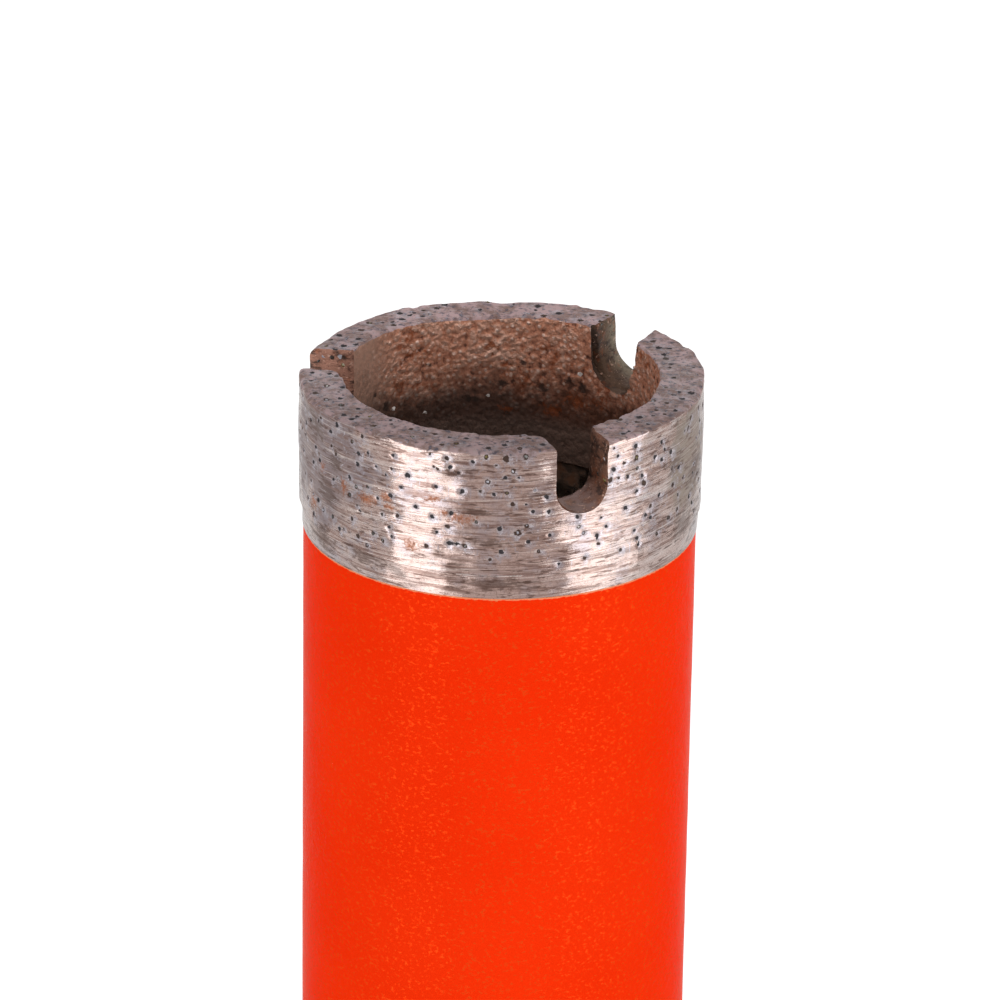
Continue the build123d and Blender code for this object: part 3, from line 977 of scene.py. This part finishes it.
def bore_finish(settings):
    """The ring's bore as it was sintered: fused copper-brown grains, with a painted highlight on their tops
    and painted shade between them, rusty in places, greyer where it is rubbed smooth on the -X side, darkened
    to black further down by painted shade, and greyer again at its foot."""
    finish = Finish("sintered_bore")
    cell, brightness = finish.cells(2.7)
    cloud = finish.grain(0.5, 3.0, 0.6)
    lump = finish.ragged(finish.value("lump"), (cell, -0.12), (finish.grain(3.0, 4.0, 0.7), 0.24))
    # Painted highlight: the lumps' tops are paler, as if lit, and the dots at some cells' middles are painted
    # glints
    top = finish.times(finish.step(lump, 0.02, 0.10), finish.times(finish.step(cloud, 0.4, 0.6), 0.5, 0.25))
    dots = finish.times(finish.step(cell, 0.46, 0.2), finish.step(brightness, 0.35, 0.95))
    rust = finish.times(finish.step(cloud, 0.5, 0.64), finish.step(finish.grain(1.3, 3.0, 0.6), 0.44, 0.6))
    rubbed = finish.step(finish.x, -(BORE_RADIUS - 4.2) * MM, -(BORE_RADIUS - 1.4) * MM)
    # Painted shade: further down, the bore is darkened to near black, a little rustier towards +X
    deep = finish.step(finish.times(cloud, 3.0 * MM, finish.z), below_face(0.8), below_face(7.0))
    deep = finish.step(finish.times(finish.grain(1.5, 4.0, 0.65), 0.8, deep), 0.4, 1.25)
    slurry = finish.between(finish.step(finish.x, 0.0, 6.0 * MM), settings.slurry_and_shade_color,
                            settings.rusty_shade_color)
    stained = finish.ragged(finish.value("stain"), (finish.grain(1.7, 4.0, 0.7), 3.0))
    flame = finish.ragged(finish.value("rust"), (finish.grain(2.2, 5.0, 0.75), 4.0))
    # Painted shade: the hollows between the lumps are darker
    color = finish.over(
        finish.between(finish.step(lump, -0.07, 0.02), settings.bore_hollow_shade_color, settings.bore_color),
        (settings.pale_grain_and_highlight_color, top, 0.95),
        (settings.bore_glint_dot_color, dots, 0.9),
        (settings.bore_rust_color, rust, 0.8),
        (settings.bore_rubbed_color, rubbed, 0.75),
        (slurry, deep, 0.88),
        (settings.foot_color, finish.step(finish.z, below_face(7.2), below_face(8.6)), 0.7),
        (settings.slurry_and_shade_color, finish.step(stained, 0.1, 0.7), 0.85),
        (settings.bore_rust_color, finish.step(flame, 0.2, 1.0), 0.7),
    )
    height = finish.times(cell, -0.5, finish.grain(3.6, 4.0, 0.65))
    normal = finish.bump(finish.times(height, finish.times(rubbed, -0.7, 1.0)), 0.14)
    rough = finish.between(deep, finish.between(finish.step(lump, 0.0, 0.1), 0.7, 0.34), 0.75)
    return finish.set(Base_Color=color, Metallic=0.6, Roughness=rough, Normal=normal)


def slot_finish(settings):
    """A ground slot: reddish brown walls scored aslant by the wheel that cut them, darker towards the bore,
    brighter on the -X side by painted light and dark olive at the back by painted shade, paler there towards
    the rim by painted light, over a greyer floor."""
    finish = Finish("slot_walls")
    from_axis = finish.from_axis()
    inner = finish.step(finish.times(finish.grain(1.2, 3.0, 0.6), 2.4 * MM, from_axis),
                        (BORE_RADIUS + 2.4) * MM, (BORE_RADIUS + 1.2) * MM)
    outer = finish.step(from_axis, (RIM_RADIUS - 1.6) * MM, (RIM_RADIUS - 0.1) * MM)
    # Painted light: the slot on the -X side is brighter; painted shade: the slot at the back is dark olive,
    # with painted light paler towards the rim
    fresh = finish.step(finish.x, -6.0 * MM, -9.0 * MM)
    back_slot_shade = finish.step(finish.y, 4.0 * MM, 8.0 * MM)
    floor = finish.times(finish.step(finish.facing(2), 0.3, 0.9),
                         finish.step(finish.grain(0.8, 3.0, 0.6), 0.66, 0.46))
    back_wall_light_and_shade = finish.over(settings.shaded_slot_color, (settings.back_slot_light_color, outer, 0.7))
    back_floor_light_and_shade = finish.between(outer, settings.shaded_slot_color, settings.back_slot_light_color)
    color = finish.over(
        settings.slot_color,
        (settings.lit_slot_color, fresh, 1.0),
        (back_wall_light_and_shade, back_slot_shade, 1.0),
        (settings.slot_dark_color, finish.times(inner, finish.math("SUBTRACT", 1.0, fresh)), 0.75),
        (settings.slot_dark_color, finish.step(finish.grain((0.7, 0.7, 1.8), 4.0, 0.65), 0.48, 0.64), 0.9),
        (settings.bore_rust_color, finish.step(finish.grain(1.1, 4.0, 0.7), 0.54, 0.64), 0.4),
        (finish.over(settings.face_shade_color, (back_floor_light_and_shade, back_slot_shade, 0.9)), floor, 1.0),
        (settings.slot_dark_color, finish.step(finish.grain(2.0, 5.0, 0.75), 0.53, 0.64), 0.6),
        (settings.pale_grain_and_highlight_color, finish.step(finish.grain(3.2, 3.0, 0.7), 0.6, 0.68), 0.6),
    )
    normal = finish.bump(finish.grain((2.0, 2.0, 4.5), 4.0, 0.7), 0.12)
    return finish.set(Base_Color=color, Metallic=0.5, Roughness=0.5, Normal=normal)


def grain_finish(settings):
    """Diamond grit: dark grey-green crystals, then olive, pale lilac, and white painted glints, as the tone
    rises.
    """
    finish = Finish("diamond_grit")
    tone = finish.value("grain_tone")
    color = finish.over(
        settings.grit_color,
        (settings.olive_grit_color, finish.step(tone, 0.72, 0.74), 1.0),
        (settings.pale_grit_color, finish.step(tone, 0.82, 0.84), 1.0),
        (settings.glint_grit_color, finish.step(tone, 0.97, 0.98), 1.0),
    )
    return finish.set(Base_Color=color, Roughness=0.18, IOR=1.9, Transmission_Weight=0.25)


def paint_finish(settings):
    """Satin enamel over a faint orange peel, with golden flecks in it and an orange sheen towards its
    outline, paler along its upper edge."""
    finish = Finish("satin_enamel")
    specks = finish.grain((3.2, 3.2, 4.8), 2.0, 0.6)
    flecks = finish.step(specks, 0.53, 0.72)
    edge = finish.times(specks, 0.25 * MM, finish.z)
    # Paler along the paint's upper edge
    rubbed = finish.step(edge, (FOOT_Z - 0.06) * MM, (FOOT_Z + 0.02) * MM)
    thicker = finish.step(finish.grain(0.12, 2.0), 0.3, 0.7)
    color = finish.over(
        finish.between(thicker, settings.paint_color, settings.paint_shade_color),
        (settings.paint_speck_color, flecks, 0.3),
        (settings.paint_edge_color, rubbed, 0.7),
    )
    peel = finish.times(finish.grain(2.2, 3.0, 0.6), 0.7, finish.times(specks, 0.3))
    rough = finish.between(finish.grain(2.5, 2.0), 0.15, 0.27)
    return finish.set(Base_Color=color, Roughness=rough, Normal=finish.bump(peel, 0.1),
                      Metallic=finish.times(flecks, 0.3), Specular_IOR_Level=0.003,
                      Specular_Tint=(1.0, 0.2, 0.03), Sheen_Weight=0.12, Sheen_Roughness=0.2,
                      Sheen_Tint=settings.paint_sheen_color)


def steel_finish(name, settings, rust):
    """Bare steel with turning marks round the axis, or milling marks up the spanner flats, and rust where it
    is kept wet."""
    finish = Finish(name)
    turned, milled = (finish.grain(scale, 4.0, 0.7) for scale in ((0.02, 0.02, 8.0), (8.0, 0.02, 0.02)))
    on_flat = finish.step(finish.math("ABSOLUTE", finish.facing(1)), 0.99, 0.998)
    past_flat = finish.largest(finish.step(finish.z, FLAT_HIGH * MM, (FLAT_HIGH + 0.02) * MM),
                               finish.step(finish.z, FLAT_LOW * MM, (FLAT_LOW - 0.02) * MM))
    marks = finish.between(finish.times(on_flat, finish.math("SUBTRACT", 1.0, past_flat)), turned, milled)
    cloud = finish.grain(0.3, 4.0, 0.6)
    patch = finish.step(finish.grain(0.5, 4.0, 0.65), 0.7 - rust, 0.88 - rust)
    shade = finish.over(
        settings.steel_color,
        (settings.dark_color, finish.step(marks, 0.42, 0.62), 0.8),
        (settings.dark_color, finish.step(cloud, 0.45, 0.7), 0.5),
        (settings.rust_color, patch, 1.0),
    )
    rough = finish.largest(finish.times(cloud, 0.3, 0.12), finish.times(patch, 0.75))
    return finish.set(Base_Color=shade, Metallic=finish.between(patch, 1.0, 0.1), Roughness=rough,
                      Normal=finish.bump(marks, 0.025), Anisotropic=0.6, Anisotropic_Rotation=0.25)


# ---------------------------------------------------------------- settings

def size_setting(name, description, default, low, high):
    """A size in metres, as Blender shows it."""
    return FloatProperty(name=name, description=description, default=default, min=low, max=high,
                         precision=5, subtype="DISTANCE", unit="LENGTH")


def share_setting(name, description, default, high=1):
    """A share, or a factor that may pass 1."""
    return FloatProperty(name=name, description=description, default=default, min=0, max=high,
                         subtype="FACTOR")


def density_setting(name, description, default):
    return FloatProperty(name=name, description=description + ", on each square millimetre",
                         default=default, min=0, max=2)


def power_setting(name, default):
    return FloatProperty(name=name, description="Power of this softbox", default=default, min=0,
                         subtype="POWER", unit="POWER")


def color_setting(name, description, default):
    return FloatVectorProperty(name=name, description=description, default=default, min=0, max=1, size=3,
                               subtype="COLOR")


class RingSettings(bpy.types.PropertyGroup):
    """The sintered cutting ring and the diamonds in it"""
    seed: IntProperty(name="Grain seed", description="Places the diamonds differently", default=7, min=0)
    spacing: size_setting("Mesh spacing", "Distance between the ring's mesh points", 0.00017, 0.0001, 0.001)
    edge_wear: share_setting("Edge wear", "How far the outer edge is worn round", 1.0, 1.3)
    grain_density: density_setting("Grains per mm2", "Diamonds tried on the side and the face", 0.7)
    bore_density: density_setting("Bore grains per mm2", "Diamonds tried in the bore", 0.25)
    grain_radius: size_setting("Grain radius", "Radius of a middling diamond", 0.00019, 0.00005, 0.0005)
    facet_tilt: share_setting("Facet tilt", "How far neighbouring scratches face apart", 0.26)
    empty_share: share_setting("Empty pits", "Share of the pits that have lost their diamond", 0.5)
    metal_color: color_setting("Metal", "Ground metal of the side", (0.65, 0.53, 0.492))
    dull_color: color_setting("Dull metal", "Duller areas of the side", (0.27, 0.22, 0.235))
    khaki_color: color_setting("Khaki metal", "Duller areas towards +X", (0.31, 0.265, 0.21))
    stain_color: color_setting("Stains", "Dark brown stains of the side", (0.15, 0.10, 0.083))
    dab_color: color_setting("Dabs", "Dark brown dabs on the side", (0.17, 0.108, 0.09))
    halo_color: color_setting("Halo", "Metal round the diamonds", (0.47, 0.46, 0.52))
    streak_color: color_setting("Streaks", "Dark grinding streaks", (0.275, 0.175, 0.147))
    scratch_color: color_setting("Scratches", "Bright fresh scratches", (0.80, 0.73, 0.70))
    rust_color: color_setting("Rust", "Rust spots", (0.50, 0.155, 0.045))
    face_color: color_setting("Face", "Dull cutting face", (0.56, 0.405, 0.415))
    face_shade_color: color_setting("Face shade", "Browner parts of the cutting face", (0.30, 0.20, 0.18))
    face_scratch_color: color_setting("Face scratches", "Scratches on the cutting face", (0.55, 0.45, 0.44))
    spot_color: color_setting("Face spots", "Dark spots of the cutting face", (0.10, 0.095, 0.125))
    # Pale crumbs of diamond on the face, with painted glints
    crumb_and_glint_color: color_setting("Glints", "Pale crumbs of diamond on the face", (0.62, 0.62, 0.70))
    # Painted glints beside the diamonds of the side
    glint_beside_pit_color: color_setting("Sparks", "Bright crumbs beside the diamonds of the side", (0.82, 0.80, 0.88))
    # Painted shade in the empty pits
    pit_color: color_setting("Pits", "Empty pits", (0.05, 0.045, 0.05))
    rust_pit_color: color_setting("Rusty pits", "Pits with rust in them", (0.075, 0.045, 0.035))
    bore_color: color_setting("Bore", "Sintered bore", (0.62, 0.29, 0.185))
    # Painted highlight on the tops of the bore's lumps, and pale grains on the slots' walls
    pale_grain_and_highlight_color: color_setting("Bore grains", "Pale grains in the bore", (0.92, 0.62, 0.49))
    # Painted glints on the bore's grains
    bore_glint_dot_color: color_setting("Bore dots", "Grains of the bore that shine most", (1.0, 0.76, 0.65))
    bore_rubbed_color: color_setting("Rubbed bore", "Smoother part of the bore", (0.54, 0.365, 0.285))
    # Painted shade low in the bore, also the colour of the bore's stains
    slurry_and_shade_color: color_setting("Slurry", "Black slurry low in the bore", (0.05, 0.033, 0.027))
    foot_color: color_setting("Bore foot", "Dry slurry at the foot of the bore", (0.27, 0.195, 0.16))
    # Painted shade low in the bore, on its +X side
    rusty_shade_color: color_setting("Rusty slurry", "Slurry on the rustier side", (0.09, 0.035, 0.02))
    # Painted shade in the hollows between the bore's grains
    bore_hollow_shade_color: color_setting("Bore hollows", "Hollows between the bore's grains", (0.15, 0.066, 0.043))
    bore_rust_color: color_setting("Bore rust", "Rust in the bore", (0.34, 0.085, 0.02))
    slot_color: color_setting("Slot walls", "Ground walls of the slots", (0.27, 0.135, 0.09))
    # Painted light on the walls of the slot on the -X side
    lit_slot_color: color_setting("Fresh slot", "Walls of the slot cut last", (0.42, 0.215, 0.155))
    # Painted shade on the walls and floor of the slot at the back
    shaded_slot_color: color_setting("Old slot", "Walls of the slot at the back", (0.14, 0.085, 0.05))
    # Painted light on the slot at the back, paler towards the rim
    back_slot_light_color: color_setting("Dust", "Stone dust in the slot at the back", (0.30, 0.27, 0.20))
    slot_dark_color: color_setting("Slot scores", "Dark scores on the slots' walls", (0.035, 0.02, 0.015))
    grit_color: color_setting("Dark grit", "Dark diamonds", (0.035, 0.038, 0.035))
    olive_grit_color: color_setting("Olive grit", "Olive diamonds", (0.20, 0.16, 0.03))
    pale_grit_color: color_setting("Pale grit", "Pale diamonds", (0.45, 0.44, 0.50))
    # Painted glints: the white diamonds in the bore
    glint_grit_color: color_setting("White grit", "White diamonds in the bore", (0.95, 0.90, 0.86))


class BarrelSettings(bpy.types.PropertyGroup):
    """The painted steel tube"""
    coat: size_setting("Coat", "Thickness of the paint", 0.00008, 0.00002, 0.0003)
    paint_color: color_setting("Paint", "Orange-red enamel", (1.0, 0.034, 0.0028))
    paint_shade_color: color_setting("Paint shade", "Enamel where it lies thicker", (0.97, 0.030, 0.0022))
    paint_speck_color: color_setting("Paint flecks", "Golden flecks in the enamel", (1.0, 0.16, 0.02))
    paint_edge_color: color_setting("Paint edge", "Thin enamel along its upper edge", (0.95, 0.42, 0.20))
    paint_sheen_color: color_setting("Paint sheen", "Sheen towards the paint's outline", (1.0, 0.42, 0.03))
    steel_color: color_setting("Steel", "Bare steel of the bore", (0.36, 0.30, 0.25))
    dark_color: color_setting("Stains", "Stains on the bare steel", (0.24, 0.19, 0.155))
    rust_color: color_setting("Rust", "Rust in the bore", (0.20, 0.09, 0.045))


class HubSettings(bpy.types.PropertyGroup):
    """The threaded steel hub"""
    thread_step: size_setting("Thread step", "Height of one mesh row of the thread", 0.00016, 0.0001, 0.0006)
    steel_color: color_setting("Steel", "Turned steel", (0.42, 0.415, 0.41))
    dark_color: color_setting("Shade", "Steel between its brighter marks", (0.24, 0.235, 0.23))
    rust_color: color_setting("Rust", "First rust", (0.24, 0.12, 0.06))


class StageSettings(bpy.types.PropertyGroup):
    """Floor, light and camera"""
    floor_color: color_setting("Floor", "Pale floor", (0.9, 0.9, 0.9))
    surround: share_setting("Surround", "How bright the world is on matt surfaces", 0.50)
    room: share_setting("Room", "How bright the room in front is in reflections", 0.585)
    room_color: color_setting("Room colour", "Warm walls of the room in front", (1.0, 0.84, 0.79))
    sheen: share_setting("Table sheen", "How bright the table is in reflections", 0.35)
    left_power: power_setting("Left softbox", 1.72)
    right_power: power_setting("Right softbox", 2.2)


class CoreBitSettings(bpy.types.PropertyGroup):
    """Everything that the core bit's operators read"""
    ring: PointerProperty(type=RingSettings, name="Cutting ring", description="The cutting ring")
    barrel: PointerProperty(type=BarrelSettings, name="Barrel", description="The barrel")
    hub: PointerProperty(type=HubSettings, name="Hub", description="The hub")
    stage: PointerProperty(type=StageSettings, name="Stage", description="The stage")


# ---------------------------------------------------------------- stage

def set_table(scene, settings):
    """A pale table top that the camera sees as white, and that nothing sees from below."""
    mesh = bpy.data.meshes.new("table_top")
    mesh.from_pydata([(x, y, -TABLE_DROP) for x, y in TABLE_CORNERS], [], [(0, 1, 2, 3)])
    table = bpy.data.objects.new("table_top", mesh)
    scene.collection.objects.link(table)
    finish = Finish("pale_table")
    rays = finish.add("LightPath")
    seen = finish.largest(rays.outputs["Is Camera Ray"], rays.outputs["Is Transmission Ray"])
    seen = finish.times(rays.outputs["Is Glossy Ray"], settings.sheen, seen)
    below = finish.add("NewGeometry").outputs["Backfacing"]
    finish.set(Base_Color=settings.floor_color, Roughness=0.7, Emission_Color=(1.0, 1.0, 1.0),
               Emission_Strength=finish.times(seen, TABLE_GLOW), Alpha=finish.math("SUBTRACT", 1.0, below))
    mesh.materials.append(finish.material)


def set_room(scene, settings):
    """The world: white to the camera, softer on matt surfaces, and in reflections a warm dimmer room in front
    with a white wall behind."""
    world = bpy.data.worlds.new("studio")
    world.use_nodes = True
    scene.world = world
    room = Nodes(world.node_tree)
    rays = room.add("LightPath")
    glossy = rays.outputs["Is Glossy Ray"]
    forward = room.add("SeparateXYZ", room.add("TexCoord").outputs["Generated"]).outputs[1]
    behind = room.step(forward, *BACK_OF_ROOM)
    level = room.between(glossy, settings.surround, 1.0)
    room.put(level.node.inputs[3], room.between(behind, settings.room, 1.0))
    level = room.largest(level, rays.outputs["Is Camera Ray"], rays.outputs["Is Transmission Ray"])
    in_front = room.times(glossy, room.math("SUBTRACT", 1.0, behind))
    background = world.node_tree.nodes["Background"]
    room.put(background.inputs["Color"], room.between(in_front, (1.0, 1.0, 1.0), settings.room_color))
    room.put(background.inputs["Strength"], level)


def set_softboxes(scene, settings):
    """Two upright softboxes, one to each side of the camera, that face the tool."""
    for side, heading, width in SOFTBOXES:
        light = bpy.data.lights.new("softbox_" + side, "AREA")
        light.shape, light.size, light.size_y = "RECTANGLE", width, SOFTBOX_HEIGHT
        light.energy = getattr(settings, side + "_power")
        lamp = bpy.data.objects.new("softbox_" + side, light)
        turn = math.radians(heading)
        away = Vector((math.sin(turn), -math.cos(turn), 0))
        lamp.location = away * SOFTBOX_DISTANCE + Vector((0, 0, SOFTBOX_MIDDLE))
        lamp.rotation_mode = "QUATERNION"
        lamp.rotation_quaternion = (-away).to_track_quat("-Z", "Y")
        lamp.visible_camera = False
        scene.collection.objects.link(lamp)


def set_camera(scene):
    """A long lens that looks down at the ring, turned a little about its own axis."""
    view = bpy.data.cameras.new("camera")
    view.sensor_width, view.lens = SENSOR_WIDTH, LENS
    view.clip_start, view.clip_end = NEAREST, FARTHEST
    camera = bpy.data.objects.new("camera", view)
    scene.collection.objects.link(camera)
    camera.location = CAMERA_PLACE
    look = (Vector(CAMERA_AIM) - camera.location).to_track_quat("-Z", "Y")
    camera.rotation_mode = "QUATERNION"
    camera.rotation_quaternion = look @ Quaternion((0, 0, 1), math.radians(CAMERA_ROLL))
    scene.camera = camera


# ---------------------------------------------------------------- operators

class COREBIT_OT_stage(bpy.types.Operator):
    """Set out the pale floor, the soft light and the camera"""
    bl_idname = "corebit.stage"
    bl_label = "Stage"

    def execute(self, context):
        scene, settings = context.scene, context.scene.core_bit.stage
        scene.view_settings.view_transform = "Standard"
        set_table(scene, settings)
        set_room(scene, settings)
        set_softboxes(scene, settings)
        set_camera(scene)
        return {"FINISHED"}


class COREBIT_OT_ring(bpy.types.Operator):
    """Build the slotted cutting ring with its pits, and the diamonds that are left in them"""
    bl_idname = "corebit.ring"
    bl_label = "Cutting ring"

    def execute(self, context):
        settings = context.scene.core_bit.ring
        sites = grain_sites(settings)
        columns = int(TURN * RIM_RADIUS / (settings.spacing / MM))
        points, stretch = ring_section(np.arange(columns) * TURN / columns, settings)
        points = rough_ring(points, sites, settings)
        ring = new_piece("crown_ring", points.reshape(-1, 3), ring_faces(*points.shape[:2]),
                         [ring_finish(settings), bore_finish(settings)], np.repeat(stretch == 0, columns))
        grind_slots(ring, slot_finish(settings), settings)
        keep_marks(ring.data, sites)
        join_frame(ring, "crown")
        everywhere = [np.concatenate(pair) for pair in zip(sites, wall_sites())]
        grains = make_grains(everywhere, grain_finish(settings), settings)
        join_frame(grains)
        return {"FINISHED"}


class COREBIT_OT_barrel(bpy.types.Operator):
    """Build the painted barrel"""
    bl_idname = "corebit.barrel"
    bl_label = "Barrel"

    def execute(self, context):
        settings = context.scene.core_bit.barrel
        points, painted = barrel_shape(settings)
        barrel = new_piece("barrel_tube", points.reshape(-1, 3), ring_faces(*points.shape[:2]),
                           [steel_finish("barrel_steel", settings, BARREL_RUST), paint_finish(settings)],
                           np.repeat(painted, points.shape[1]))
        join_frame(barrel, "barrel")
        return {"FINISHED"}


class COREBIT_OT_hub(bpy.types.Operator):
    """Build the threaded hub"""
    bl_idname = "corebit.hub"
    bl_label = "Hub"

    def execute(self, context):
        settings = context.scene.core_bit.hub
        points = hub_shape(settings)
        hub = new_piece("hub_body", points.reshape(-1, 3), ring_faces(*points.shape[:2]),
                        [steel_finish("hub_steel", settings, HUB_RUST)], sharp=28)
        join_frame(hub, "hub")
        return {"FINISHED"}


class COREBIT_PT_panel(bpy.types.Panel):
    """Sizes and finishes of the core bit, and the operators that build it"""
    bl_idname = "COREBIT_PT_panel"
    bl_label = "Core bit"
    bl_space_type = "VIEW_3D"
    bl_region_type = "UI"
    bl_category = "Core bit"

    def draw(self, context):
        for part in ("stage", "ring", "barrel", "hub"):
            box = self.layout.box()
            group = getattr(context.scene.core_bit, part)
            for setting in group.__annotations__:
                box.prop(group, setting)
            box.operator("corebit." + part)


CLASSES = (RingSettings, BarrelSettings, HubSettings, StageSettings, CoreBitSettings, COREBIT_OT_stage,
           COREBIT_OT_ring, COREBIT_OT_barrel, COREBIT_OT_hub, COREBIT_PT_panel)


def register():
    for each in CLASSES:
        bpy.utils.register_class(each)
    bpy.types.Scene.core_bit = PointerProperty(type=CoreBitSettings)


def unregister():
    del bpy.types.Scene.core_bit
    for each in reversed(CLASSES):
        bpy.utils.unregister_class(each)


def main():
    register()
    bpy.ops.corebit.stage()
    bpy.ops.corebit.ring()
    bpy.ops.corebit.barrel()
    bpy.ops.corebit.hub()


if __name__ == "__main__":
    main()
